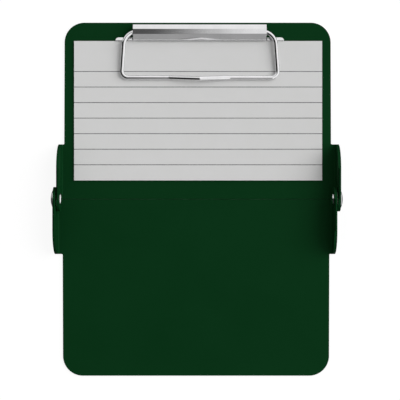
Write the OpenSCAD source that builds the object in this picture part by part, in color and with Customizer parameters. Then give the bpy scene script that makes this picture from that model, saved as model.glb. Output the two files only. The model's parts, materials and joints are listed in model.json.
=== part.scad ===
// Folding pocket clipboard: two equal sheet aluminium panels joined by two ear hinges, with a
// low wire clip riveted along the top edge of the upper panel and a thin stack of ruled cards.
// The origin is on the table under the middle of the seam. +Y runs towards the clip, +X to the
// right, and +Z up. Opened flat, both panels rest on the table.

/* [Panels] */
// Width of each panel between its straight sides
panel_w = 136.4; // [130:0.1:145]
// Length of each panel from the seam to its outer edge
panel_l = 90.5; // [88:0.1:100]
// Radius of the two outer corners
corner_r = 10.2; // [4:0.1:20]
// Thickness of the aluminium sheet
sheet_t = 1.4; // [1:0.1:1.8]
// Gap between the two panels' edges at the seam
seam_gap = 0.15; // [0.1:0.05:0.4]
// Sideways shift of each panel, which nests one ear inside the other
panel_shift = 0.41; // [0.3:0.01:0.6]

/* [Hinge ears] */
// Height of the hinge pins above the panels' top faces
pin_h = 6.45; // [6:0.05:8]
// Radius of the ears' round noses about the pin
nose_r = 6.2; // [5:0.1:6.2]
// Distance from the seam to the ears' far ends
ear_l = 28.1; // [20:0.1:40]
// Distance from a panel's middle to the inner face of its inboard ear
ear_in = 69.69; // [69:0.01:71]
// Space between two ears that pass each other
ear_gap = 0.495; // [0.4:0.005:0.6]
// Inside radius of the bend at the foot of an ear
bend_r = 0.8; // [0.4:0.1:0.8]

/* [Hinge rivets] */
// Diameter of the rivets' shanks
shank_d = 4; // [3:0.1:5]
// Radial running clearance between a shank and the lower panel's ears
run_gap = 0.06; // [0.03:0.01:0.1]
// Diameter of the outer heads
head_d = 8.8; // [7:0.1:10]
// Height of the outer heads
head_h = 1.4; // [1:0.1:2]
// Diameter of the heads that are set inside the ears
set_d = 5.9; // [5:0.1:7]
// Height of the heads that are set inside the ears
set_h = 1.3; // [0.8:0.05:1.4]

/* [Clip] */
// Sideways place of the clip's middle
clip_x = 1.5; // [0:0.1:3]
// Width of the clip's cover
cover_w = 68; // [60:0.5:72]
// Thickness of the cover's sheet
cover_t = 0.7; // [0.5:0.1:0.8]
// Thickness of the base plate
base_t = 0.8; // [0.6:0.1:1]
// Width across the two paper stops
stop_span = 86.2; // [84:0.2:92]
// Height of the paper stops above the panel, at their fronts
stop_h = 1.85; // [1.6:0.05:1.9]

/* [Wire bail] */
// Diameter of the bail's wire
wire_d = 2.2; // [1.8:0.05:2.2]
// Distance from the seam to the bail's pivot axis
pivot_y = 85.5; // [85.45:0.05:86]
// Height of the pivot axis above the panel's top face
pivot_h = 3.4; // [3.4:0.05:3.5]
// Distance from the seam to the bail's front bar
bar_y = 62.2; // [58:0.1:66]
// Outward splay of the bail's legs in degrees
splay = 4.3; // [2:0.05:6]
// Distance from the clip's middle to the top of each leg
leg_x = 38.8; // [38:0.1:40]
// Radius of the bends that come out of the cover's ends
top_bend_r = 6.9; // [5:0.1:7]
// Radius of the bends at the front bar
bar_bend_r = 3.3; // [2.5:0.1:5]
// Half the width of the raised finger lift in the front bar
lift_half = 15.6; // [10:0.1:20]
// Height that the finger lift rises
lift_h = 2; // [1:0.1:3]
// Distance that the finger lift leans forward
lift_lean = 0.6; // [0.2:0.1:1]

/* [Cards] */
// Width of the ruled cards
card_w = 127; // [100:1:128]
// Height of the ruled cards
card_l = 71.4; // [60:0.1:71.6]
// Space that one card takes in the stack
card_pitch = 0.25; // [0.2:0.01:0.3]
// Number of cards in the stack, with the top one
cards = 4; // [2:1:4]
// Sideways place of the cards' middle
card_x = 0.66; // [0:0.01:1.2]

/* [Hidden] */

$fn = 64;
eps = 0.01;
// How far a cutter runs past what it cuts, and a joined shape into its neighbour
over = 1;

green = "#0a3519";
bright = "#d8d9db";
steel = "#9a9da1";
nylon = "#e4e2dc";
card_white = "#d2d2d2";

// Hinge
pin_z = sheet_t + pin_h;
ear_h = pin_h + nose_r;
ear_out = ear_in + sheet_t + ear_gap - 2 * panel_shift;
shank_r = shank_d / 2;
lap_in = ear_in - panel_shift;
lap_mid = lap_in + sheet_t;
lap_out = lap_mid + ear_gap;
lap_end = lap_out + sheet_t;
washer_d = 8;
washer_t = 0.4;
head_gap = 0.05;
head_edge = 0.5;
set_edge = 0.1;

// Clip
wire_r = wire_d / 2;
base_front = 81.15;
base_back = 88.2;
cover_back = 89;
base_half = cover_w / 2 - 0.4;
stop_back = 82.8;
stop_start = cover_w / 2 + 0.4;
stop_corner_r = stop_back - base_front;
stop_back_h = 1.4;
outer_lug_x = 30.6;
inner_lug_x = 23.4;
lug_t = 0.8;
lug_r = 1.6;
pin_play = 0.05;
pin_end = 15.5;
slot_w = 0.7;
slot_l = 1.5;
foot_from = 4;
foot_to = 14;
foot_front = 84.4;
cover_rivet_x = 9;
cover_rivet_y = 86.1;
stop_rivet_x = 27.8;
stop_rivet_y = 83.1;
clip_shank_r = 1;
clip_sink_r = 1.9;
clip_sink_h = 0.7;
clip_head_r = 1.5;
clip_head_h = 0.6;

// Outside of the cover from the panel up its rear wall, over the crest and down to the front
// lip, as (y, height)
cover_line = [[cover_back, 0], [cover_back, 5.5], [86.5, 6.25], [84, 5.65], [82.4, 4.1],
              [81.35, 2.95], [81, 1.95]];

// Bail, in the plane of its loop
bar_rest = cards * card_pitch + 0.05 + wire_r;
tilt = asin((pivot_h - bar_rest) / (pivot_y - bar_y));
bail_l = (pivot_y - bar_y) / cos(tilt);
bend_x = leg_x - top_bend_r * cos(splay);
leg_y = -top_bend_r * (1 - sin(splay));
corner_y = bar_bend_r - bail_l;
corner_x = leg_x + (leg_y - corner_y) * tan(splay) - bar_bend_r / cos(splay);
lift_rise = norm([lift_lean, lift_h]);
lift_a = atan(lift_rise / lift_half);
lift_foot_r = 6;
lift_crest_r = 1.6;
lift_foot_x = lift_half + lift_foot_r * tan(lift_a / 2);

// Springs
spring_wire_r = 0.25;
coil_r = 1.45;
coil_turns = 6.75;
coil_start = 22.4;
coil_end = pin_end + 0.75;
coil_steps = 12;
leg_play = 0.03;

// Cards
card_top_y = 81;
card_t = card_pitch - 0.01;

// ---- Shared shapes ----

// A profile drawn in (y, z), extruded along X between two places
module along_x(x_from, x_to) {
    translate([x_from, 0, 0])
        rotate([90, 0, 90])
            linear_extrude(x_to - x_from) children();
}

// A cylinder along X
module bar_x(x_from, x_to, r) {
    translate([x_from, 0, 0])
        rotate([0, 90, 0])
            cylinder(h = x_to - x_from, r = r);
}

// Its children in place, and again mirrored to the left
module both_sides() {
    children();
    mirror([1, 0, 0]) children();
}

// ---- Panels ----

// Outline of a panel, square at the seam and round at its outer corners
module panel_outline() {
    translate([-panel_w / 2, seam_gap / 2])
        square([panel_w, panel_l - corner_r - seam_gap / 2]);
    translate([corner_r - panel_w / 2, seam_gap / 2])
        square([panel_w - 2 * corner_r, panel_l - seam_gap / 2]);
    for (side = [-1, 1])
        translate([side * (panel_w / 2 - corner_r), panel_l - corner_r])
            circle(corner_r);
}

// Side view of an ear above the panel's top face: a quarter round at its far end, a flat top
// and a round nose about the hinge pin
module ear_profile() {
    far_y = ear_l - ear_h;
    translate([seam_gap / 2, bend_r]) square([far_y - seam_gap / 2, ear_h - bend_r]);
    intersection() {
        translate([far_y, 0]) circle(ear_h);
        translate([far_y, bend_r]) square(ear_h);
    }
    translate([0, pin_h]) circle(nose_r);
}

// One ear on the +X side, with the tab and the bend that carry it
module ear(inner, hole_r) {
    length = ear_l - seam_gap / 2;
    translate([panel_w / 2 - over, seam_gap / 2, 0])
        cube([inner - bend_r - panel_w / 2 + over, length, sheet_t]);
    translate([inner - bend_r, ear_l, sheet_t + bend_r])
        rotate([90, 0, 0])
            linear_extrude(length)
                intersection() {
                    difference() {
                        circle(bend_r + sheet_t);
                        circle(bend_r);
                    }
                    translate([0, -bend_r - sheet_t]) square(bend_r + sheet_t);
                }
    difference() {
        translate([0, 0, sheet_t])
            along_x(inner, inner + sheet_t) ear_profile();
        translate([0, 0, pin_z])
            bar_x(inner - over, inner + sheet_t + over, hole_r);
    }
}

// The stamping that both panels start from: left ear inboard, right ear outboard
module panel(hole_r) {
    linear_extrude(sheet_t) panel_outline();
    mirror([1, 0, 0]) ear(ear_in, hole_r);
    ear(ear_out, hole_r);
}

module upper_panel() {
    color(green)
        difference() {
            translate([panel_shift, 0, 0]) panel(shank_r);
            clip_rivet_places() clip_rivet_hole(0);
        }
}

module lower_panel() {
    color(green)
        rotate([0, 0, 180])
            translate([panel_shift, 0, 0]) panel(shank_r + run_gap);
}

// ---- Hinge rivets and washers, drawn on the +X side ----

// Half section of a rivet head of diameter d and height h: a straight edge, then a dome
module head_section(d, h, edge) {
    rise = h - edge;
    dome_r = (pow(d / 2, 2) + pow(rise, 2)) / (2 * rise);
    square([d / 2, edge]);
    intersection() {
        translate([0, h - dome_r]) circle(dome_r);
        square([d / 2, h + over]);
    }
}

// Half section of a hinge rivet, as (radius, place along its axis): its outer head past
// outside, and the smaller head that is set before inside
module hinge_rivet_section(inside, outside) {
    translate([0, inside - eps]) square([shank_r, outside - inside + 2 * eps]);
    translate([0, outside]) head_section(head_d, head_h, head_edge);
    translate([0, inside]) mirror([0, 1]) head_section(set_d, set_h, set_edge);
}

module hinge_rivet(inner_gap, outer_gap) {
    color(bright)
        translate([0, 0, pin_z])
            rotate([0, 90, 0])
                rotate_extrude()
                    hinge_rivet_section(lap_in - inner_gap, lap_end + outer_gap);
}

module hinge_washer() {
    color(nylon)
        translate([0, 0, pin_z])
            difference() {
                bar_x(lap_mid, lap_mid + washer_t, washer_d / 2);
                bar_x(lap_mid - over, lap_mid + washer_t + over, shank_r + run_gap);
            }
}

module hinge_rivet_left() {
    mirror([1, 0, 0]) hinge_rivet(0, head_gap);
}

module hinge_rivet_right() {
    hinge_rivet(head_gap, 0);
}

module hinge_washer_left() {
    mirror([1, 0, 0]) hinge_washer();
}

module hinge_washer_right() {
    translate([ear_gap - washer_t, 0, 0]) hinge_washer();
}

// ---- Clip ----

// Places its children in the clip's own frame, on the upper panel's top face
module on_clip() {
    translate([clip_x, 0, sheet_t]) children();
}

module clip_rivet_places() {
    on_clip()
        for (side = [-1, 1]) {
            translate([side * cover_rivet_x, cover_rivet_y, 0]) children();
            translate([side * stop_rivet_x, stop_rivet_y, 0]) children();
        }
}

// Countersunk hole through the panel, and straight on through the clip
module clip_rivet_hole(above) {
    translate([0, 0, -sheet_t - over])
        cylinder(h = sheet_t + above + 2 * over, r = clip_shank_r);
    translate([0, 0, -sheet_t]) clip_rivet_cone();
}

// The flush head on the panel's underside
module clip_rivet_cone() {
    cylinder(h = clip_sink_h, r1 = clip_sink_r, r2 = clip_shank_r);
}

// A clip rivet, flush below and domed above what it holds
module clip_rivet(held_t) {
    dome_r = (pow(clip_head_r, 2) + pow(clip_head_h, 2)) / (2 * clip_head_h);
    color(bright) {
        translate([0, 0, -sheet_t]) cylinder(h = sheet_t + held_t + eps, r = clip_shank_r);
        translate([0, 0, -sheet_t]) clip_rivet_cone();
        intersection() {
            translate([0, 0, held_t + clip_head_h - dome_r]) sphere(dome_r);
            translate([0, 0, held_t]) cylinder(h = clip_head_h + over, r = clip_head_r);
        }
    }
}

module cover_rivet(side) {
    on_clip() translate([side * cover_rivet_x, cover_rivet_y, 0]) clip_rivet(base_t + cover_t);
}

module stop_rivet(side) {
    on_clip() translate([side * stop_rivet_x, stop_rivet_y, 0]) clip_rivet(base_t);
}

// One paper stop: its outer end is rounded in plan, and its top falls towards the rear
module paper_stop() {
    end = stop_span / 2;
    intersection() {
        linear_extrude(stop_h) {
            translate([stop_start, base_front])
                square([end - stop_corner_r - stop_start, stop_back - base_front]);
            intersection() {
                translate([end - stop_corner_r, base_front]) circle(stop_corner_r);
                translate([end - stop_corner_r, base_front]) square(stop_corner_r);
            }
        }
        along_x(stop_start, end)
            polygon([[base_front, 0], [stop_back, 0], [stop_back, stop_back_h],
                     [base_front, stop_h]]);
    }
    translate([base_half - over, base_front, 0])
        cube([stop_start - base_half + over + eps, stop_back - base_front, base_t]);
}

// An upright lug with a round top about the bail's pivot
module lug(x_from) {
    difference() {
        union() {
            translate([x_from, pivot_y - lug_r, 0]) cube([lug_t, 2 * lug_r, pivot_h]);
            translate([0, pivot_y, pivot_h]) bar_x(x_from, x_from + lug_t, lug_r);
        }
        translate([0, pivot_y, pivot_h])
            bar_x(x_from - over, x_from + lug_t + over, wire_r + pin_play);
    }
}

module clip_base() {
    color(bright)
        difference() {
            on_clip() {
                translate([-base_half, base_front, 0])
                    cube([2 * base_half, base_back - base_front, base_t]);
                both_sides() {
                    paper_stop();
                    lug(outer_lug_x);
                    lug(inner_lug_x);
                }
            }
            clip_rivet_places() clip_rivet_hole(base_t);
        }
}

// Unit normal on the left of the step between two points
function left_of(a, b) = [a.y - b.y, b.x - a.x] / norm(b - a);

// The point t away on the left of a bent line's point i, mitred at the bends
function inner_point(line, i, t) =
    let (last = len(line) - 1,
         n1 = left_of(line[max(i - 1, 0)], line[max(i, 1)]),
         n2 = left_of(line[min(i, last - 1)], line[min(i + 1, last)]))
    line[i] + t * (n1 + n2) / (1 + n1 * n2);

// A strip of sheet t thick under a bent line
module bent_strip(line, t) {
    last = len(line) - 1;
    polygon(concat(line, [for (i = [last:-1:0]) inner_point(line, i, t)]));
}

module clip_cover() {
    half = cover_w / 2;
    color(bright)
        difference() {
            on_clip() {
                along_x(-half, half) bent_strip(cover_line, cover_t);
                both_sides()
                    translate([foot_from, foot_front, base_t])
                        cube([foot_to - foot_from, cover_back - cover_t / 2 - foot_front, cover_t]);
            }
            clip_rivet_places() clip_rivet_hole(base_t + cover_t);
        }
}

// Points along an arc about a centre, from one angle to another
function arc(centre, r, from, to, steps) =
    [for (i = [0:steps])
        let (a = from + (to - from) * i / steps)
        centre + r * [cos(a), sin(a)]];

// Right half of the loop's middle line, from the pin round to the lift's crest. The lift lies
// in a plane of its own, which leans forward from the bar.
function bail_half_line() =
    let (bends = concat(arc([bend_x, -top_bend_r], top_bend_r, 90, splay, 9),
                        arc([corner_x, corner_y], bar_bend_r, splay, -90, 9)),
         lift = concat(arc([lift_foot_x, lift_foot_r], lift_foot_r, -90, -90 - lift_a, 3),
                       arc([0, lift_rise - lift_crest_r / cos(lift_a)], lift_crest_r,
                           90 - lift_a, 90, 2)))
    concat([for (p = bends) [p.x, p.y, 0]],
           [for (p = lift) [p.x, -bail_l - lift_lean / lift_rise * p.y,
                            lift_h / lift_rise * p.y]]);

// Points of a ring about p, square to the direction d
function ring(p, d, r, sides, across) =
    let (u = cross(d, across), v = cross(d, u))
    [for (k = [0:sides - 1])
        p + r * (u / norm(u) * cos(360 * k / sides) + v / norm(v) * sin(360 * k / sides))];

// A tube swept along a line of points, none of its steps along the direction across
module tube(line, r, sides, across) {
    last = len(line) - 1;
    points = [for (i = [0:last])
                 each ring(line[i], line[min(i + 1, last)] - line[max(i - 1, 0)], r, sides,
                           across)];
    walls = [for (i = [0:last - 1], k = [0:sides - 1])
                let (a = i * sides, b = a + sides, n = (k + 1) % sides)
                [a + k, b + k, b + n, a + n]];
    caps = [[for (k = [0:sides - 1]) k], [for (k = [sides - 1:-1:0]) last * sides + k]];
    polyhedron(points, concat(walls, caps));
}

// One pivot pin of the bail, slotted at its end for the spring's tang
module bail_pin() {
    difference() {
        bar_x(pin_end, bend_x, wire_r);
        translate([pin_end - over, -wire_r - over, -slot_w / 2])
            cube([slot_l + over, wire_d + 2 * over, slot_w]);
    }
}

module wire_bail() {
    right = bail_half_line();
    left = [for (i = [len(right) - 2:-1:0]) [-right[i].x, right[i].y, right[i].z]];
    color(bright)
        on_clip()
            translate([0, pivot_y, pivot_h])
                rotate([tilt, 0, 0]) {
                    tube(concat(right, left), wire_r, 16, [0, 0, 1]);
                    both_sides() bail_pin();
                }
}

// ---- Bail springs ----

// Middle line of the right spring about the pivot: its rear leg on the base plate, the coil,
// and a tang across the slot in the bail's pin
function spring_line() =
    let (leg_z = base_t + spring_wire_r + leg_play - pivot_h,
         steps = coil_turns * coil_steps,
         turn = 360 / coil_steps,
         leg = [[1.7, leg_z], [1.1, leg_z + 0.3], [0.5, -coil_r - 0.1]],
         tang = [[1.1, 0.06], [0.7, 0], [-0.9, 0]])
    concat([for (p = leg) [coil_start, p.x, p.y]],
           [for (i = [0:steps])
                [coil_start - (coil_start - coil_end) * i / steps,
                 coil_r * cos(270 - turn * i), coil_r * sin(270 - turn * i)]],
           [for (p = tang) [coil_end, p.x, p.y]]);

module bail_spring() {
    color(steel)
        on_clip()
            translate([0, pivot_y, pivot_h])
                tube(spring_line(), spring_wire_r, 6, [1, 0, 0]);
}

// The left spring is the right one mirrored about the clip's middle
module bail_spring_left() {
    translate([2 * clip_x, 0, 0]) mirror([1, 0, 0]) bail_spring();
}

module bail_spring_right() {
    bail_spring();
}

// ---- Cards ----

module card(number) {
    color(card_white)
        translate([card_x - card_w / 2, card_top_y - card_l, sheet_t + number * card_pitch])
            cube([card_w, card_l, card_t]);
}

// ---- Nodes ----

upper_panel();
lower_panel();
hinge_rivet_left();
hinge_rivet_right();
hinge_washer_left();
hinge_washer_right();
clip_base();
clip_cover();
wire_bail();
bail_spring_left();
bail_spring_right();
cover_rivet(-1);  // cover_rivet_left
cover_rivet(1);  // cover_rivet_right
stop_rivet(-1);  // stop_rivet_left
stop_rivet(1);  // stop_rivet_right
for (i = [0:cards - 2]) card(i);  // card_stack
card(cards - 1);  // top_card
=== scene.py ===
"""The folding pocket clipboard's finished looks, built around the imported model.

Meshes are made in millimetres, in the frame's own directions, and scaled to metres once. The
sheet parts follow the CAD sections with the rolled edges and smooth bends that stamping gives.
"""

import json
import math

import bmesh
import bpy
import numpy as np
from mathutils import Matrix, Vector


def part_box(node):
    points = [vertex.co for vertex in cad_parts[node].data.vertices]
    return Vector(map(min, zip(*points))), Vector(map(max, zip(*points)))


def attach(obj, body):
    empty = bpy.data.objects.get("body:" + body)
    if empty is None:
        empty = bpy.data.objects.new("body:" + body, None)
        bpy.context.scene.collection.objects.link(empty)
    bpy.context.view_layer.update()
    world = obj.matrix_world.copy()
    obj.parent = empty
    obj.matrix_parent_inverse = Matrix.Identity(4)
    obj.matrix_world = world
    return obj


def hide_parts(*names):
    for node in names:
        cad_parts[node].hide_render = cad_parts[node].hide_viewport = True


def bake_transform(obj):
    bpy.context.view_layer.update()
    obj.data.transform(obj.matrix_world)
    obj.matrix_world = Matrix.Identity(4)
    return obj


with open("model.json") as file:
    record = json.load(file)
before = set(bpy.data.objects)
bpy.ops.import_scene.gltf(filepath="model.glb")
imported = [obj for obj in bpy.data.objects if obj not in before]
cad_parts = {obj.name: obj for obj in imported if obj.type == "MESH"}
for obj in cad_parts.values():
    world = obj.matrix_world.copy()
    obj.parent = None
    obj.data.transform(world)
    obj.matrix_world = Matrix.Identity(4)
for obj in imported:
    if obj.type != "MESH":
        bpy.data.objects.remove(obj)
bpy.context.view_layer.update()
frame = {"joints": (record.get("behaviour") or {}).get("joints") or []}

MM = 0.001


def box_mm(node):
    """A CAD node's lowest and highest corner, in millimetres."""
    low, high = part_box(node)
    return low / MM, high / MM


def joint_mm(name):
    """The place of a joint's axis, in millimetres."""
    joint = next(j for j in frame["joints"] if j["name"] == name)
    return Vector(joint["pos_m"]) / MM


# ---- Sizes, in millimetres ----

FOLD_AXIS = joint_mm("fold")
BAIL_AXIS = joint_mm("bail_lift")
PANEL_LOW, PANEL_HIGH = box_mm("upper_panel")
SHEET_T = box_mm("clip_base")[0].z
EAR_H = PANEL_HIGH.z - SHEET_T
PIN_H = FOLD_AXIS.z - SHEET_T
NOSE_R = PANEL_HIGH.z - FOLD_AXIS.z
PANEL_L = PANEL_HIGH.y
PANEL_W = 136.4
PANEL_SHIFT = 0.41
CORNER_R = 10.2
EAR_L = 28.1
SEAM_HALF = 0.075
BEND_R = 0.8
BEND_MID = BEND_R + SHEET_T / 2
BEND_LEN = BEND_MID * math.pi / 2
SHEET_EDGE = 0.18

# Hinge rivets: the shank, the outer head and the head set inside the ears
HINGE_SHANK_R = 2.0
# Radial gaps round the shank in the upper panel's ears and in the lower panel's
FIXED_GAP, RUN_GAP = 0.01, 0.06
HEAD_H, HEAD_EDGE = 1.4, 0.5
SET_R, SET_H, SET_EDGE = 2.95, 1.3, 0.1
RIM_SOFT = 0.06
WASHER_BORE_R, WASHER_SOFT = 2.06, 0.08

CLIP_X = BAIL_AXIS.x
COVER_LOW, COVER_HIGH = box_mm("clip_cover")
COVER_T = 0.7
COVER_RADII = [0.75, 0.5, 0.4, 3.0, 0.9]
BASE_LOW, BASE_HIGH = box_mm("clip_base")
BASE_T = 0.8
BASE_HALF = 33.6
STOP_BACK = 82.8
STOP_START = 34.4
STOP_H, STOP_BACK_H, STOP_SOFT = 1.85, 1.4, 0.14
LUG_T = 0.8
LUG_R = 1.6
LUG_PLACES = (30.6, 23.4)
FOOT = (4, 14)
FOOT_FRONT = 84.4
WIRE_R = 1.1
CARD_LOW, CARD_HIGH = box_mm("top_card")


# ---- Mesh helpers ----

def arc(centre, r, start, end, steps):
    """Points on an arc about centre, from one angle to another in degrees."""
    angles = np.radians(np.linspace(start, end, steps + 1))
    return [(centre[0] + r * math.cos(a), centre[1] + r * math.sin(a)) for a in angles]


def rounded(points, radii, step=8):
    """A bent line with each inner corner rounded to its radius, a point every step degrees."""
    line = [Vector(points[0])]
    for before, corner, after, r in zip(points, points[1:], points[2:], radii):
        p = Vector(corner)
        back, on = (Vector(before) - p).normalized(), (Vector(after) - p).normalized()
        turn = math.pi - back.angle(on)
        reach = r * math.tan(turn / 2)
        centre = p + (back + on).normalized() * r / math.cos(turn / 2)
        start = p + back * reach - centre
        steps = max(2, math.ceil(math.degrees(turn) / step))
        way = 1 if start.x * on.y - start.y * on.x > 0 else -1
        for i in range(steps + 1):
            line.append(centre + Matrix.Rotation(way * turn * i / steps, 2) @ start)
    return line + [Vector(points[-1])]


def offset_line(line, t):
    """The line t away on the left of a bent line, mitred at its bends."""
    normals = []
    for a, b in zip(line, line[1:]):
        d = (b - a).normalized()
        normals.append(Vector((-d.y, d.x)))
    found = []
    for i, p in enumerate(line):
        n1, n2 = normals[max(i - 1, 0)], normals[min(i, len(normals) - 1)]
        found.append(p + (n1 + n2) * t / (1 + n1.dot(n2)))
    return found


def new_mesh(verts, faces):
    mesh = bpy.data.meshes.new("part")
    mesh.from_pydata([tuple(v) for v in verts], [], faces)
    return mesh


def prism(outline, place, direction, length):
    """A closed solid: a counter-clockwise outline, each point put in space by place, swept along
    direction. The direction points towards whoever sees the outline counter-clockwise."""
    n = len(outline)
    near = [Vector(place(*p)) for p in outline]
    far = [v + Vector(direction) * length for v in near]
    walls = [[i, (i + 1) % n, n + (i + 1) % n, n + i] for i in range(n)]
    return new_mesh(near + far, walls + [list(range(n))[::-1], list(range(n, 2 * n))])


def along_x(outline, x_from, x_to):
    """A prism along X of an outline drawn in (y, z)."""
    return prism(outline, lambda y, z: (x_from, y, z), (1, 0, 0), x_to - x_from)


def along_z(outline, z_from, z_to):
    """A prism along Z of an outline drawn in (x, y)."""
    return prism(outline, lambda x, y: (x, y, z_from), (0, 0, 1), z_to - z_from)


def block(low, high):
    (x0, y0, z0), (x1, y1, z1) = low, high
    return along_z([(x0, y0), (x1, y0), (x1, y1), (x0, y1)], z0, z1)


SHARP = math.radians(35)


def softened(mesh, width, segments=2):
    """The mesh with its sharp edges rounded, and a face attribute that marks the rounding."""
    bm = bmesh.new()
    bm.from_mesh(mesh)
    edges = [e for e in bm.edges if e.is_manifold and e.calc_face_angle() > SHARP]
    round_off(bm, edges, width, segments)
    bm.to_mesh(mesh)
    bm.free()
    return mesh


def round_off(bm, edges, width, segments):
    """Bevels edges, and marks what the bevel made in the face attribute edge."""
    mark = bm.faces.layers.float.get("edge") or bm.faces.layers.float.new("edge")
    made = bmesh.ops.bevel(bm, geom=edges, offset=width, offset_type="OFFSET", segments=segments,
                           profile=0.5, affect="EDGES", clamp_overlap=False)
    for face in made["faces"]:
        face[mark] = 1.0


def boolean(mesh, other, operation):
    """The mesh joined with another, or cut by it."""
    pair = [bpy.data.objects.new("part", m) for m in (mesh, other)]
    for obj in pair:
        bpy.context.scene.collection.objects.link(obj)
    change = pair[0].modifiers.new("boolean", "BOOLEAN")
    change.operation, change.solver, change.object = operation, "EXACT", pair[1]
    graph = bpy.context.evaluated_depsgraph_get()
    result = bpy.data.meshes.new_from_object(pair[0].evaluated_get(graph))
    for obj in pair:
        bpy.data.objects.remove(obj)
    return result


def union(meshes):
    result = meshes[0]
    for mesh in meshes[1:]:
        result = boolean(result, mesh, "UNION")
    return result


def lathe(profile, place, sides=64, closed=False):
    """A turned solid. The profile's points are (radius, height), from the bottom of the axis up
    round the outside, and place puts (a, b, height) in space, a right-handed frame."""
    verts, rings = [], []
    for r, h in profile:
        if r == 0:
            rings.append([len(verts)])
            verts.append(Vector(place(0, 0, h)))
        else:
            rings.append(list(range(len(verts), len(verts) + sides)))
            for i in range(sides):
                a = 2 * math.pi * i / sides
                verts.append(Vector(place(r * math.cos(a), r * math.sin(a), h)))
    faces = []
    pairs = list(zip(rings, rings[1:])) + ([(rings[-1], rings[0])] if closed else [])
    for low, high in pairs:
        for i in range(sides):
            j = (i + 1) % sides
            if len(low) == 1:
                faces.append([low[0], high[j], high[i]])
            elif len(high) == 1:
                faces.append([low[i], low[j], high[0]])
            else:
                faces.append([low[i], low[j], high[j], high[i]])
    return new_mesh(verts, faces)


def tube(line, r, sides, chamfer):
    """A round wire along a line of points, with its ends chamfered."""
    points = [Vector(p) for p in line]
    ends = [points[0] - points[1], points[-1] - points[-2]]
    points[0] -= ends[0].normalized() * chamfer
    points[-1] -= ends[1].normalized() * chamfer
    stations = [(points[0] + ends[0].normalized() * chamfer, r - chamfer)]
    stations += [(p, r) for p in points]
    stations.append((points[-1] + ends[1].normalized() * chamfer, r - chamfer))
    centres = [p for p, _ in stations]
    u = None
    verts, faces = [], []
    for i, (p, radius) in enumerate(stations):
        d = (centres[min(i + 1, len(centres) - 1)] - centres[max(i - 1, 0)]).normalized()
        u = d.orthogonal() if u is None else u - d * u.dot(d)
        u.normalize()
        v = d.cross(u)
        for k in range(sides):
            a = 2 * math.pi * k / sides
            verts.append(p + radius * (u * math.cos(a) + v * math.sin(a)))
    for i in range(len(stations) - 1):
        for k in range(sides):
            n = (k + 1) % sides
            faces.append([i * sides + k, i * sides + n, (i + 1) * sides + n, (i + 1) * sides + k])
    last = (len(stations) - 1) * sides
    faces.append(list(range(sides))[::-1])
    faces.append([last + k for k in range(sides)])
    return new_mesh(verts, faces)


def mirrored(mesh, x):
    """A copy of the mesh mirrored about the plane at x."""
    bm = bmesh.new()
    bm.from_mesh(mesh)
    for vert in bm.verts:
        vert.co.x = 2 * x - vert.co.x
    bmesh.ops.reverse_faces(bm, faces=bm.faces)
    copy = bpy.data.meshes.new("part")
    bm.to_mesh(copy)
    bm.free()
    return copy


def piece(name, mesh, finish, body, slot, *nodes):
    """A finished piece: smooth shaded, in metres, on its body, in place of its CAD nodes."""
    mesh.name = name
    mesh.transform(Matrix.Scale(MM, 4))
    mesh.materials.clear()
    mesh.materials.append(finish)
    mesh.polygons.foreach_set("use_smooth", [True] * len(mesh.polygons))
    obj = bpy.data.objects.new(name, mesh)
    bpy.context.scene.collection.objects.link(obj)
    weighted = obj.modifiers.new("normals", "WEIGHTED_NORMAL")
    weighted.mode = "FACE_AREA"
    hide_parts(*nodes)
    if body:
        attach(obj, body)
    return obj


# ---- Materials ----

def srgb(red, green, blue):
    """A colour given as 0 to 255 values, in the linear light that the shaders take."""
    parts = [c / 255 for c in (red, green, blue)]
    linear = [c / 12.92 if c <= 0.04045 else ((c + 0.055) / 1.055) ** 2.4 for c in parts]
    return (*linear, 1)


class Finish:
    """A material with one Principled shader, and short calls that add nodes to it."""

    def __init__(self, name, **values):
        self.material = bpy.data.materials.new(name)
        self.material.use_nodes = True
        self.nodes = self.material.node_tree.nodes
        self.links = self.material.node_tree.links
        self.shader = self.nodes["Principled BSDF"]
        for socket, value in values.items():
            self.shader.inputs[socket.replace("_", " ")].default_value = value
        self.place = self.add("ShaderNodeTexCoord").outputs["Object"]

    def add(self, kind, inputs=None, **settings):
        node = self.nodes.new(kind)
        for name, value in settings.items():
            setattr(node, name, value)
        for socket, value in (inputs or {}).items():
            if isinstance(value, bpy.types.NodeSocket):
                self.links.new(value, node.inputs[socket])
            else:
                node.inputs[socket].default_value = value
        return node

    def drive(self, socket, value):
        self.links.new(value, self.shader.inputs[socket])

    def noise(self, scale, detail=3, stretch=(1, 1, 1)):
        """Noise with about scale features in a metre, times stretch along X, Y and Z."""
        place = self.add("ShaderNodeMapping", {"Vector": self.place, "Scale": stretch})
        made = self.add("ShaderNodeTexNoise", {"Vector": place.outputs[0], "Scale": scale,
                                               "Detail": detail})
        return made.outputs["Fac"]

    def spread(self, value, low, high, start=0.3, end=0.7):
        """value between start and end, spread from low to high."""
        made = self.add("ShaderNodeMapRange", {"Value": value, "From Min": start, "From Max": end,
                                               "To Min": low, "To Max": high})
        return made.outputs["Result"]

    def maths(self, operation, a, b):
        return self.add("ShaderNodeMath", {0: a, 1: b}, operation=operation).outputs[0]

    def mix(self, factor, a, b):
        """Colour a, going to colour b as factor goes to 1."""
        return self.add("ShaderNodeMix", {0: factor, 6: a, 7: b}, data_type="RGBA").outputs[2]

    def bump(self, height, distance, strength=1.0):
        made = self.add("ShaderNodeBump", {"Height": height, "Distance": distance,
                                           "Strength": strength})
        self.drive("Normal", made.outputs["Normal"])

    def edge(self):
        """1 on an edge that the mesh code rounded, and 0 elsewhere."""
        return self.add("ShaderNodeAttribute", attribute_name="edge").outputs["Fac"]


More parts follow.
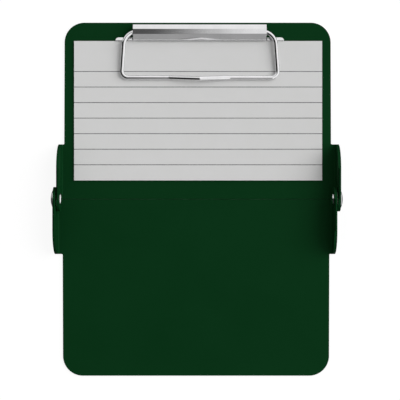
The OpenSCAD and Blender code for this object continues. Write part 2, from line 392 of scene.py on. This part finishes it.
def green_metal():
    """Satin green coat on aluminium sheet, with a fine orange peel and lightly rubbed edges."""
    f = Finish("green_coat", Metallic=0.25, Specular_IOR_Level=0.05)
    patches = f.spread(f.noise(30, 4), 0, 1)
    coat = f.mix(patches, srgb(9, 56, 25), srgb(11, 58, 27))
    specks = f.spread(f.noise(2200, 2), 0, 0.35, 0.66, 0.74)
    coat = f.mix(specks, coat, srgb(12, 70, 34))
    rubbed = f.maths("MULTIPLY", f.edge(), f.spread(f.noise(420, 4), 0.1, 0.5, 0.5, 0.72))
    f.drive("Base Color", f.mix(rubbed, coat, srgb(34, 92, 54)))
    f.drive("Roughness", f.spread(f.noise(700, 4), 0.5, 0.6))
    peel = f.maths("ADD", f.noise(2600, 3), f.maths("MULTIPLY", f.noise(9000, 2), 0.5))
    f.bump(peel, 0.000008, 0.5)
    return f.material


def chrome(name, light, dark, stretch, roughness):
    """Polished plating: hairlines along the stretched direction, with faint handling marks."""
    f = Finish(name, Metallic=1.0)
    hairlines = f.noise(160, 5, stretch)
    marks = f.noise(130, 5)
    f.drive("Base Color", f.mix(f.spread(marks, 0, 1, 0.35, 0.75), light, dark))
    fine = f.spread(hairlines, roughness, roughness * 1.9)
    f.drive("Roughness", f.maths("ADD", fine, f.spread(marks, 0, 0.02, 0.45, 0.75)))
    f.bump(hairlines, 0.000001, 0.3)
    return f.material


def spring_steel():
    """Oil-tempered spring wire: straw and blue patches under a drawn surface."""
    f = Finish("spring_steel", Metallic=1.0)
    tint = f.spread(f.noise(330, 3), 0, 1)
    f.drive("Base Color", f.mix(tint, srgb(168, 166, 160), srgb(128, 130, 138)))
    f.drive("Roughness", f.spread(f.noise(1500, 3), 0.26, 0.42))
    f.bump(f.noise(6000, 2), 0.000004, 0.5)
    return f.material


def nylon():
    """Natural nylon washers with a moulded skin."""
    f = Finish("washer_nylon", Metallic=0.0)
    f.drive("Base Color", f.mix(f.noise(300, 2), srgb(222, 219, 208), srgb(208, 205, 194)))
    f.drive("Roughness", f.spread(f.noise(1800, 2), 0.48, 0.62))
    f.bump(f.noise(5000, 2), 0.000006, 0.5)
    return f.material


def paper(name, first_line=None):
    """Card stock with cloudy fibres. first_line, a height in Y in millimetres, adds the rules."""
    f = Finish(name, Metallic=0.0)
    clouds = f.maths("ADD", f.maths("MULTIPLY", f.noise(90, 4), 0.6),
                     f.maths("MULTIPLY", f.noise(2400, 3, (1, 3, 1)), 0.4))
    stock = f.mix(f.spread(clouds, 0, 1), CARD_DARK, CARD_LIGHT)
    if first_line is not None:
        y = f.add("ShaderNodeSeparateXYZ", {0: f.place}).outputs["Y"]
        down = f.maths("SUBTRACT", first_line * MM, y)
        wrapped = f.maths("PINGPONG", down, RULE_PITCH * MM / 2)
        line = f.spread(wrapped, 1, 0, 0.15 * MM, 0.21 * MM)
        on_card = f.maths("MULTIPLY", f.maths("GREATER_THAN", down, -RULE_PITCH / 2 * MM),
                          f.maths("LESS_THAN", down, (RULES - 0.5) * RULE_PITCH * MM))
        worn = f.spread(f.noise(1500, 2), 0.82, 1.0)
        ink = f.maths("MULTIPLY", f.maths("MULTIPLY", line, on_card), worn)
        stock = f.mix(ink, stock, RULE_INK)
    f.drive("Base Color", stock)
    f.drive("Roughness", f.spread(f.noise(1200, 3), 0.82, 0.95))
    f.bump(clouds, 0.00001, 0.4)
    return f.material


CARD_LIGHT = srgb(229, 229, 229)
CARD_DARK = srgb(226, 226, 225)
RULE_INK = srgb(70, 71, 73)
RULE_FIRST = 15.62
RULE_PITCH = 7.96
RULES = 7

CHROME_LIGHT = srgb(238, 238, 239)
CHROME_DARK = srgb(230, 230, 231)
PLATING_LIGHT = srgb(248, 248, 248)

GREEN = green_metal()
COVER_CHROME = chrome("clip_chrome", CHROME_LIGHT, CHROME_DARK, (0.3, 24, 24), 0.04)
BASE_PLATING = chrome("base_plating", PLATING_LIGHT, CHROME_LIGHT, (3, 20, 20), 0.2)
WIRE_CHROME = chrome("wire_chrome", CHROME_LIGHT, CHROME_DARK, (4, 4, 4), 0.03)
RIVET_CHROME = chrome("rivet_chrome", CHROME_LIGHT, CHROME_DARK, (14, 14, 14), 0.07)
SPRING_STEEL = spring_steel()
NYLON = nylon()
BLANK_CARD = paper("card_blank")
RULED_CARD = paper("card_ruled", CARD_HIGH.y - RULE_FIRST)


# ---- Panels ----

def half_pattern(bend_start):
    """Right half of a panel's flat pattern, from the seam round the ear to the top edge."""
    level = bend_start + BEND_LEN - BEND_R
    pin = level + PIN_H
    lean = math.degrees(math.asin(SEAM_HALF / NOSE_R))
    return (arc((pin, 0), NOSE_R, 180 - lean, 360 + lean, 44)
            + arc((level, EAR_L - EAR_H), EAR_H, 0, 90, 26)
            + [(PANEL_W / 2, EAR_L)]
            + arc((PANEL_W / 2 - CORNER_R, PANEL_L - CORNER_R), CORNER_R, 0, 90, 22))


def bent_up(s, y, depth, bend_starts):
    """Where a point of the flat pattern goes, depth above the middle of the sheet."""
    start = bend_starts[s > 0]
    past = abs(s) - start
    if past <= 0:
        return s, y, SHEET_T / 2 + depth
    angle = min(past / BEND_MID, math.pi / 2)
    x = start + (BEND_MID - depth) * math.sin(angle)
    z = SHEET_T + BEND_R - (BEND_MID - depth) * math.cos(angle) + max(0, past - BEND_LEN)
    return math.copysign(x, s), y, z


def panel():
    """A panel with its ears bent up, in the upper panel's place but for its sideways shift."""
    outer = (-PANEL_LOW.x + PANEL_SHIFT, PANEL_HIGH.x - PANEL_SHIFT)
    bend_starts = [x - SHEET_T - BEND_R for x in outer]
    right = half_pattern(bend_starts[1])
    left = [(-s, y) for s, y in reversed(half_pattern(bend_starts[0]))]
    flat = bmesh.new()
    flat.faces.new([flat.verts.new((s, y, 0)) for s, y in right + left])
    for side, start in zip((-1, 1), bend_starts):
        for k in range(9):
            everything = flat.verts[:] + flat.edges[:] + flat.faces[:]
            bmesh.ops.bisect_plane(flat, geom=everything, dist=1e-5, plane_no=(1, 0, 0),
                                   plane_co=(side * (start + BEND_LEN * k / 8), 0, 0))
    bm = bmesh.new()
    skins = []
    for depth in (SHEET_T / 2, -SHEET_T / 2):
        skins.append({v: bm.verts.new(bent_up(v.co.x, v.co.y, depth, bend_starts))
                      for v in flat.verts})
    top, under = skins
    for face in flat.faces:
        loop = face.verts[:]
        if face.normal.z < 0:
            loop.reverse()
        bm.faces.new([top[v] for v in loop])
        bm.faces.new([under[v] for v in reversed(loop)])
        for a, b in zip(loop, loop[1:] + loop[:1]):
            if flat.edges.get((a, b)).is_boundary:
                bm.faces.new([under[a], under[b], top[b], top[a]])
    rims = [bm.edges.get((skin[e.verts[0]], skin[e.verts[1]]))
            for e in flat.edges if e.is_boundary for skin in skins]
    round_off(bm, rims, SHEET_EDGE, 3)
    mesh = bpy.data.meshes.new("part")
    bm.to_mesh(mesh)
    bm.free()
    flat.free()
    return mesh


def pin_bore(gap):
    """A cutter for the pin holes in both ears, a gap wider in radius than the shank."""
    r, end = HINGE_SHANK_R + gap, PANEL_W
    return lathe([(0, -end), (r, -end), (r, end), (0, end)],
                 lambda a, b, h: (h, FOLD_AXIS.y + a, FOLD_AXIS.z + b), 48)


def clip_rivet_places():
    """The middle of each clip rivet in X and Y, from the CAD rivets."""
    found = {}
    for name in ("cover_rivet_left", "cover_rivet_right", "stop_rivet_left", "stop_rivet_right"):
        low, high = box_mm(name)
        found[name] = (low + high) / 2
    return found


RIVETS = clip_rivet_places()
SINK_R, SINK_H, SHANK_R = 1.9, 0.7, 1.0

upper = panel()
upper.transform(Matrix.Translation((PANEL_SHIFT, 0, 0)))
for middle in RIVETS.values():
    countersink = lathe([(0, -1), (SINK_R + 0.02, -1), (SINK_R + 0.02, 0.03),
                         (SHANK_R, SINK_H), (SHANK_R, SHEET_T + 1), (0, SHEET_T + 1)],
                        lambda a, b, h: (middle.x + a, middle.y + b, h), 40)
    upper = boolean(upper, countersink, "DIFFERENCE")
upper = boolean(upper, pin_bore(FIXED_GAP), "DIFFERENCE")
piece("upper_panel_sheet", upper, GREEN, "upper_board", "green_coat", "upper_panel")

lower = panel()
lower.transform(Matrix.Rotation(math.pi, 4, "Z") @ Matrix.Translation((PANEL_SHIFT, 0, 0)))
lower = boolean(lower, pin_bore(RUN_GAP), "DIFFERENCE")
piece("lower_panel_sheet", lower, GREEN, "lower_board", "green_coat", "lower_panel")


# ---- Hinge rivets and washers ----

def head(r, h, edge, soft=0.12):
    """Profile of a rivet head from its rim to its crest: a straight edge, then a dome."""
    rise = h - edge
    dome_r = (r ** 2 + rise ** 2) / (2 * rise)
    reach = math.degrees(math.asin((r - soft / 2) / dome_r))
    line = [(r - RIM_SOFT, 0), (r, RIM_SOFT), (r, edge - soft)]
    return line + [(w, h - dome_r + up) for up, w in arc((0, 0), dome_r, reach, 0, 14)]


def hinge_rivet(node):
    """A hinge rivet: a wide domed head outside the ears, and a smaller one set inside them."""
    low, high = box_mm(node)
    side = 1 if low.x > 0 else -1
    inner, outer = sorted((abs(low.x), abs(high.x)))
    inside = [(SET_R - RIM_SOFT, 0), (SET_R, RIM_SOFT), (SET_R, SET_EDGE)]
    inside += [(SET_R * up, SET_H * along) for along, up in arc((0, 0), 1, 80, 0, 14)]
    outside = head((high.y - low.y) / 2, HEAD_H, HEAD_EDGE)
    profile = [(r, inner + SET_H - h) for r, h in reversed(inside)]
    profile += [(HINGE_SHANK_R, inner + SET_H), (HINGE_SHANK_R, outer - HEAD_H)]
    profile += [(r, outer - HEAD_H + h) for r, h in outside]
    profile[0], profile[-1] = (0, inner), (0, outer)

    def place(a, b, h):
        return side * h, FOLD_AXIS.y + a * side, FOLD_AXIS.z + b

    return lathe(profile, place)


def hinge_washer(node):
    """A thin spacer washer with softened rims."""
    low, high = box_mm(node)
    outer, bore, soft = (high.y - low.y) / 2, WASHER_BORE_R, WASHER_SOFT
    profile = [(bore + soft, low.x), (outer - soft, low.x), (outer, low.x + soft),
               (outer, high.x - soft), (outer - soft, high.x), (bore + soft, high.x),
               (bore, high.x - soft), (bore, low.x + soft)]
    return lathe(profile, lambda a, b, h: (h, FOLD_AXIS.y + a, FOLD_AXIS.z + b), closed=True)


for side in ("left", "right"):
    rivet, washer = "hinge_rivet_" + side, "hinge_washer_" + side
    piece(rivet + "_turned", hinge_rivet(rivet), RIVET_CHROME, "upper_board", "rivet_chrome",
          rivet)
    piece(washer + "_moulded", hinge_washer(washer), NYLON, "upper_board", "washer_nylon",
          washer)


# ---- Clip ----

def clip_rivet(node):
    """A clip rivet: a dimpled flush head under the panel, and a dome over what it holds."""
    low, high = box_mm(node)
    middle = RIVETS[node]
    head_r, head_h, flush = 1.5, 0.6, 0.02
    dome_r = (head_r ** 2 + head_h ** 2) / (2 * head_h)
    reach = math.degrees(math.asin(head_r / dome_r))
    profile = [(0, flush + 0.1), (0.5, flush + 0.06), (0.9, flush), (SINK_R - 0.09, flush),
               (SINK_R - 0.03, flush + 0.05), (SHANK_R - 0.01, SINK_H),
               (SHANK_R - 0.01, high.z - head_h), (head_r - 0.06, high.z - head_h)]
    profile += [(r, high.z - dome_r + h) for h, r in arc((0, 0), dome_r, reach, 0, 9)]
    profile[-1] = (0, high.z)
    return lathe(profile, lambda a, b, h: (middle.x + a, middle.y + b, h), 40)


for node in RIVETS:
    piece(node + "_set", clip_rivet(node), RIVET_CHROME, "upper_board", "rivet_chrome", node)


def on_panel(points):
    """Points given in the clip's section, as (y, height above the panel), in (y, z)."""
    return [(y, SHEET_T + h) for y, h in points]


def cover_strip():
    """The cover's section: up the rear wall, over the crest and down to the front lip."""
    back, front, crest = COVER_HIGH.y, COVER_LOW.y, COVER_HIGH.z - SHEET_T
    corners = [(back, 0), (back, crest - 0.75), (back - 2.5, crest), (back - 5, crest - 0.6),
               (back - 6.6, crest - 2.15), (back - 7.65, crest - 3.3), (front, crest - 4.3)]
    outside = rounded(corners, COVER_RADII)
    inside = offset_line(outside, COVER_T)
    return on_panel([tuple(p) for p in inside] + [tuple(p) for p in reversed(outside)])


def clip_cover():
    half = (COVER_HIGH.x - COVER_LOW.x) / 2
    parts = [softened(along_x(cover_strip(), CLIP_X - half, CLIP_X + half), 0.12)]
    for side in (-1, 1):
        near, far = sorted((CLIP_X + side * FOOT[0], CLIP_X + side * FOOT[1]))
        parts.append(softened(block((near, FOOT_FRONT, SHEET_T + BASE_T),
                                    (far, COVER_HIGH.y - COVER_T / 2,
                                     SHEET_T + BASE_T + COVER_T)), 0.1))
    return union(parts)


def paper_stop(side):
    """A paper stop: round in plan at its outer rear corner, and lower towards the rear."""
    end, front = (BASE_HIGH.x - BASE_LOW.x) / 2, BASE_LOW.y
    deep = STOP_BACK - front
    outline = [(STOP_START, front)]
    outline += arc((end - deep, front), deep, 0, 90, 12)
    outline += [(STOP_START, STOP_BACK)]
    stop = along_z(outline, SHEET_T, SHEET_T + STOP_H)
    for vert in stop.vertices:
        if vert.co.z > SHEET_T:
            vert.co.z -= (STOP_H - STOP_BACK_H) * (vert.co.y - front) / deep
    foot = block((BASE_HALF - 1, front, SHEET_T), (STOP_START + 1, STOP_BACK, SHEET_T + BASE_T))
    stop = union([softened(stop, STOP_SOFT, 3), foot])
    if side < 0:
        stop = mirrored(stop, 0)
    stop.transform(Matrix.Translation((CLIP_X, 0, 0)))
    return stop


def lug(x_from):
    """An upright lug with a round top, drilled for the bail's pin."""
    y, z = BAIL_AXIS.y, BAIL_AXIS.z
    outline = [(y - LUG_R, SHEET_T + 0.1), (y + LUG_R, SHEET_T + 0.1)]
    outline += arc((y, z), LUG_R, 0, 180, 20)
    plate = softened(along_x(outline, x_from, x_from + LUG_T), 0.1)
    hole = lathe([(0, x_from - 1), (WIRE_R + 0.05, x_from - 1), (WIRE_R + 0.05, x_from + 2),
                  (0, x_from + 2)], lambda a, b, h: (h, y + a, z + b), 32)
    return boolean(plate, hole, "DIFFERENCE")


def clip_base():
    plate = softened(block((CLIP_X - BASE_HALF, BASE_LOW.y, SHEET_T),
                           (CLIP_X + BASE_HALF, BASE_HIGH.y, SHEET_T + BASE_T)), 0.12)
    parts = [plate, paper_stop(-1), paper_stop(1)]
    for place in LUG_PLACES:
        parts += [lug(CLIP_X + place), lug(CLIP_X - place - LUG_T)]
    return union(parts)


piece("clip_cover_pressing", clip_cover(), COVER_CHROME, "upper_board", "clip_chrome",
      "clip_cover")
piece("clip_base_pressing", clip_base(), BASE_PLATING, "upper_board", "clip_chrome",
      "clip_base")


# ---- Wire bail ----

BAR_Y = 62.2
BAR_H = CARD_HIGH.z - SHEET_T + 0.06 + WIRE_R
TILT = math.asin((BAIL_AXIS.z - SHEET_T - BAR_H) / (BAIL_AXIS.y - BAR_Y))
SPLAY = 4.3
LEG_X, TOP_BEND_R, BAR_BEND_R = 38.8, 6.9, 3.3
LIFT_HALF, LIFT_H, LIFT_LEAN = 15.6, 2.0, 0.6
LIFT_FOOT_R, LIFT_CREST_R = 6.0, 1.6
PIN_END = 15.5


def bail_half():
    """Right half of the bail's middle line about its pivot, from the pin to the lift's crest."""
    length = (BAIL_AXIS.y - BAR_Y) / math.cos(TILT)
    splay = math.radians(SPLAY)
    bend_x = LEG_X - TOP_BEND_R * math.cos(splay)
    leg_y = -TOP_BEND_R * (1 - math.sin(splay))
    corner_y = BAR_BEND_R - length
    corner_x = LEG_X + (leg_y - corner_y) * math.tan(splay) - BAR_BEND_R / math.cos(splay)
    flat = [(PIN_END, 0), (PIN_END + 4, 0), (bend_x - 4, 0)]
    flat += arc((bend_x, -TOP_BEND_R), TOP_BEND_R, 90, SPLAY, 24)
    flat += arc((corner_x, corner_y), BAR_BEND_R, SPLAY, -90, 18)
    rise = math.hypot(LIFT_LEAN, LIFT_H)
    slope = math.degrees(math.atan(rise / LIFT_HALF))
    foot_x = LIFT_HALF + LIFT_FOOT_R * math.tan(math.radians(slope / 2))
    crest = rise - LIFT_CREST_R / math.cos(math.radians(slope))
    lift = arc((foot_x, LIFT_FOOT_R), LIFT_FOOT_R, -90, -90 - slope, 6)
    lift += arc((0, crest), LIFT_CREST_R, 90 - slope, 90, 4)
    return ([Vector((x, y, 0)) for x, y in flat]
            + [Vector((x, -length - LIFT_LEAN / rise * up, LIFT_H / rise * up))
               for x, up in lift])


def wire_bail():
    half = bail_half()
    loop = half + [Vector((-p.x, p.y, p.z)) for p in reversed(half[:-1])]
    mesh = tube(loop, WIRE_R, 28, 0.15)
    for side in (-1, 1):
        x = sorted((side * (PIN_END - 1), side * (PIN_END + 1.5)))
        slot = block((x[0], -2, -0.35), (x[1], 2, 0.35))
        mesh = boolean(mesh, slot, "DIFFERENCE")
    mesh.transform(Matrix.Translation(BAIL_AXIS) @ Matrix.Rotation(TILT, 4, "X"))
    return mesh


piece("wire_bail_loop", wire_bail(), WIRE_CHROME, "bail", "wire_chrome", "wire_bail")


# ---- Bail springs ----

COIL_R, COIL_TURNS, SPRING_WIRE_R = 1.45, 6.75, 0.25
COIL_START, COIL_END = 22.4, 16.25


def bail_spring():
    """The right torsion spring: a leg on the base, the coil, and a tang in the pin's slot."""
    leg_z = SHEET_T + BASE_T + SPRING_WIRE_R + 0.03 - BAIL_AXIS.z
    steps = round(COIL_TURNS * 24)
    line = [Vector((COIL_START, y, z)) for y, z in
            ((1.7, leg_z), (1.4, leg_z + 0.08), (1.1, leg_z + 0.3), (0.8, -COIL_R - 0.35),
             (0.5, -COIL_R - 0.1))]
    for i in range(steps + 1):
        turn = math.radians(270 - 360 * COIL_TURNS * i / steps)
        x = COIL_START + (COIL_END - COIL_START) * i / steps
        line.append(Vector((x, COIL_R * math.cos(turn), COIL_R * math.sin(turn))))
    line += [Vector((COIL_END, y, z)) for y, z in
             ((1.22, 0.03), (1.0, 0.01), (0.7, 0), (0, 0), (-0.9, 0))]
    mesh = tube(line, SPRING_WIRE_R, 12, 0.04)
    mesh.transform(Matrix.Translation(BAIL_AXIS))
    return mesh


for side, name in ((1, "right"), (-1, "left")):
    mesh = bail_spring() if side > 0 else mirrored(bail_spring(), CLIP_X)
    node = "bail_spring_" + name
    spring = piece(node + "_coil", mesh, SPRING_STEEL, None, "spring_steel", node)
    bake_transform(spring)


# ---- Cards ----

def card(low, high):
    return softened(block(low, high), 0.03, 1)


def card_stack():
    """The blank cards under the ruled one, each a thin solid of its own."""
    low, high = box_mm("card_stack")
    thick = CARD_HIGH.z - CARD_LOW.z
    count = round((high.z - low.z) / thick)
    pitch = (high.z - low.z - thick) / (count - 1)
    bm = bmesh.new()
    for i in range(count):
        z = low.z + i * pitch
        bm.from_mesh(card((low.x, low.y, z), (high.x, high.y, z + thick)))
    mesh = bpy.data.meshes.new("part")
    bm.to_mesh(mesh)
    bm.free()
    return mesh


piece("card_stack_cards", card_stack(), BLANK_CARD, "upper_board", "card", "card_stack")
piece("top_card_ruled", card(CARD_LOW, CARD_HIGH), RULED_CARD, "upper_board", "card",
      "top_card")


# ---- Floor, light and camera ----

# The floor lies just under the panels, and darkens only within CONTACT millimetres of them: a
# painted contact shade.
FLOOR_GAP, FLOOR_GLOW, CONTACT = 0.05, 0.9, 1.5

# In gloss, the studio is bright from KEY_EDGE on to the right and from BACK_EDGE on to the back,
# grey low in front, and dark elsewhere. A pair is where a zone starts and where it is full, as
# X, Y or Z of a direction. The LEAN values shift an edge over their TURN pairs. On matt surfaces
# the studio is an even dome, with the sun lamp as its key.
KEY_EDGE, KEY_FALL = (-0.06, 0.06), (0.9, 0.3)
KEY_BRIGHT, KEY_LOW = 0.89, 1.15
KEY_TURN, KEY_LEAN = (-0.1, 0.2), 0.1
FRONT_TURN, FRONT_LEAN = (-0.38, -0.55), 0.2
BACK_EDGE, BACK_BRIGHT = (0.54, 0.64), 0.87
BACK_TURN, BACK_LEAN = (-0.08, -0.25), 0.32
FRONT_EDGE, FRONT_SIDE, FRONT_GREY = (-0.33, -0.55), (-0.12, 0.05), 0.36
LOW_FALL, LOW_SIDE = (0.5, 0.2), (-0.3, -0.08)
DARK_EDGE, DARK_SIDE, FRONT_DARK = (0, -0.3), (-0.35, -0.1), 0.085
LEFT_DARK = 0.015
DOME = 0.38

SUN_WAY = (1.0, 0.35, 0.9)
SUN_STRENGTH = 1.88
SUN_ANGLE = 52

VIEW_X, VIEW_Y = 1.63, -0.41
VIEW_H = 620
VIEW_W = 205.1
SENSOR = 36


def floor():
    mesh = bpy.data.meshes.new("floor")
    bm = bmesh.new()
    bmesh.ops.create_circle(bm, cap_ends=True, segments=96, radius=20)
    for vert in bm.verts:
        vert.co.z = -FLOOR_GAP * MM
    bm.to_mesh(mesh)
    bm.free()
    f = Finish("floor", Roughness=0.9, Specular_IOR_Level=0.0)
    f.shader.inputs["Base Color"].default_value = (0.15, 0.15, 0.15, 1)
    f.shader.inputs["Emission Color"].default_value = (1, 1, 1, 1)
    # Ambient occlusion cuts the floor's glow near the panels and in the seam under them: painted
    # contact shade.
    near = f.add("ShaderNodeAmbientOcclusion", {"Distance": CONTACT * MM}, samples=32)
    seen = f.add("ShaderNodeLightPath").outputs["Is Camera Ray"]
    glow = f.maths("MULTIPLY", f.spread(near.outputs["AO"], 0, FLOOR_GLOW, 0.2, 0.4), seen)
    f.drive("Emission Strength", glow)
    mesh.materials.append(f.material)
    obj = bpy.data.objects.new("floor", mesh)
    bpy.context.scene.collection.objects.link(obj)


def studio():
    """A soft studio: a bright canopy over the right and the back, darker to the left."""
    world = bpy.data.worlds.new("studio")
    bpy.context.scene.world = world
    world.use_nodes = True
    nodes, links = world.node_tree.nodes, world.node_tree.links
    background, output = nodes["Background"], nodes["World Output"]

    def add(kind, inputs=None, **settings):
        node = nodes.new(kind)
        for name, value in settings.items():
            setattr(node, name, value)
        for socket, value in (inputs or {}).items():
            if isinstance(value, bpy.types.NodeSocket):
                links.new(value, node.inputs[socket])
            else:
                node.inputs[socket].default_value = value
        return node.outputs[0]

    def ramp(value, start, end, low, high):
        return add("ShaderNodeMapRange", {0: value, 1: start, 2: end, 3: low, 4: high},
                   interpolation_type="SMOOTHSTEP")

    def maths(operation, a, b):
        return add("ShaderNodeMath", {0: a, 1: b}, operation=operation)

    direction = nodes.new("ShaderNodeTexCoord").outputs["Generated"]
    way = nodes.new("ShaderNodeSeparateXYZ")
    links.new(direction, way.inputs[0])
    x, y, z = (way.outputs[axis] for axis in "XYZ")
    lean = maths("SUBTRACT", ramp(y, *KEY_TURN, 0, KEY_LEAN),
                 ramp(y, *FRONT_TURN, 0, FRONT_LEAN))
    right = maths("ADD", x, lean)
    key = maths("MULTIPLY", ramp(right, *KEY_EDGE, 0, 1),
                ramp(z, *KEY_FALL, KEY_BRIGHT, KEY_LOW))
    rear = maths("ADD", y, ramp(x, *BACK_TURN, 0, BACK_LEAN))
    back = maths("MULTIPLY", ramp(rear, *BACK_EDGE, 0, 1), BACK_BRIGHT)
    front = ramp(y, *FRONT_EDGE, 0, 1)
    beside = ramp(x, *FRONT_SIDE, 0, FRONT_GREY)
    level = maths("MULTIPLY", ramp(z, *LOW_FALL, 0, 1), ramp(x, *LOW_SIDE, 0, FRONT_GREY))
    fill = maths("MULTIPLY", front, maths("MAXIMUM", beside, level))
    low = maths("MULTIPLY", ramp(y, *DARK_EDGE, 0, 1), ramp(x, *DARK_SIDE, 0, FRONT_DARK))
    dark = maths("MAXIMUM", low, LEFT_DARK)
    boxes = maths("MAXIMUM", maths("MAXIMUM", key, back), maths("MAXIMUM", fill, dark))
    glossy = nodes.new("ShaderNodeLightPath").outputs["Is Glossy Ray"]
    light = add("ShaderNodeMix", {0: glossy, 2: DOME, 3: boxes}, data_type="FLOAT")
    links.new(light, background.inputs["Color"])
    backdrop = nodes.new("ShaderNodeBackground")
    seen = nodes.new("ShaderNodeLightPath").outputs["Is Camera Ray"]
    mixed = add("ShaderNodeMixShader", {0: seen, 1: background.outputs[0],
                                        2: backdrop.outputs[0]})
    backdrop.inputs["Color"].default_value = (1, 1, 1, 1)
    links.new(mixed, output.inputs["Surface"])


def camera():
    """A camera straight above the clipboard, which takes in VIEW_W at the panels' top faces."""
    data = bpy.data.cameras.new("camera")
    data.sensor_width = SENSOR
    data.lens = SENSOR * VIEW_H / VIEW_W
    data.clip_start, data.clip_end = 0.01, 100
    obj = bpy.data.objects.new("camera", data)
    obj.location = (VIEW_X * MM, VIEW_Y * MM, (SHEET_T + VIEW_H) * MM)
    bpy.context.scene.collection.objects.link(obj)
    bpy.context.scene.camera = obj


def sun():
    """The softbox on the right, as it lights the matt surfaces."""
    data = bpy.data.lights.new("softbox", "SUN")
    data.energy, data.angle = SUN_STRENGTH, math.radians(SUN_ANGLE)
    obj = bpy.data.objects.new("softbox", data)
    obj.rotation_mode = "QUATERNION"
    obj.rotation_quaternion = Vector(SUN_WAY).to_track_quat("Z", "Y")
    obj.visible_glossy = False
    bpy.context.scene.collection.objects.link(obj)


floor()
studio()
sun()
camera()
bpy.context.scene.view_settings.view_transform = "Standard"
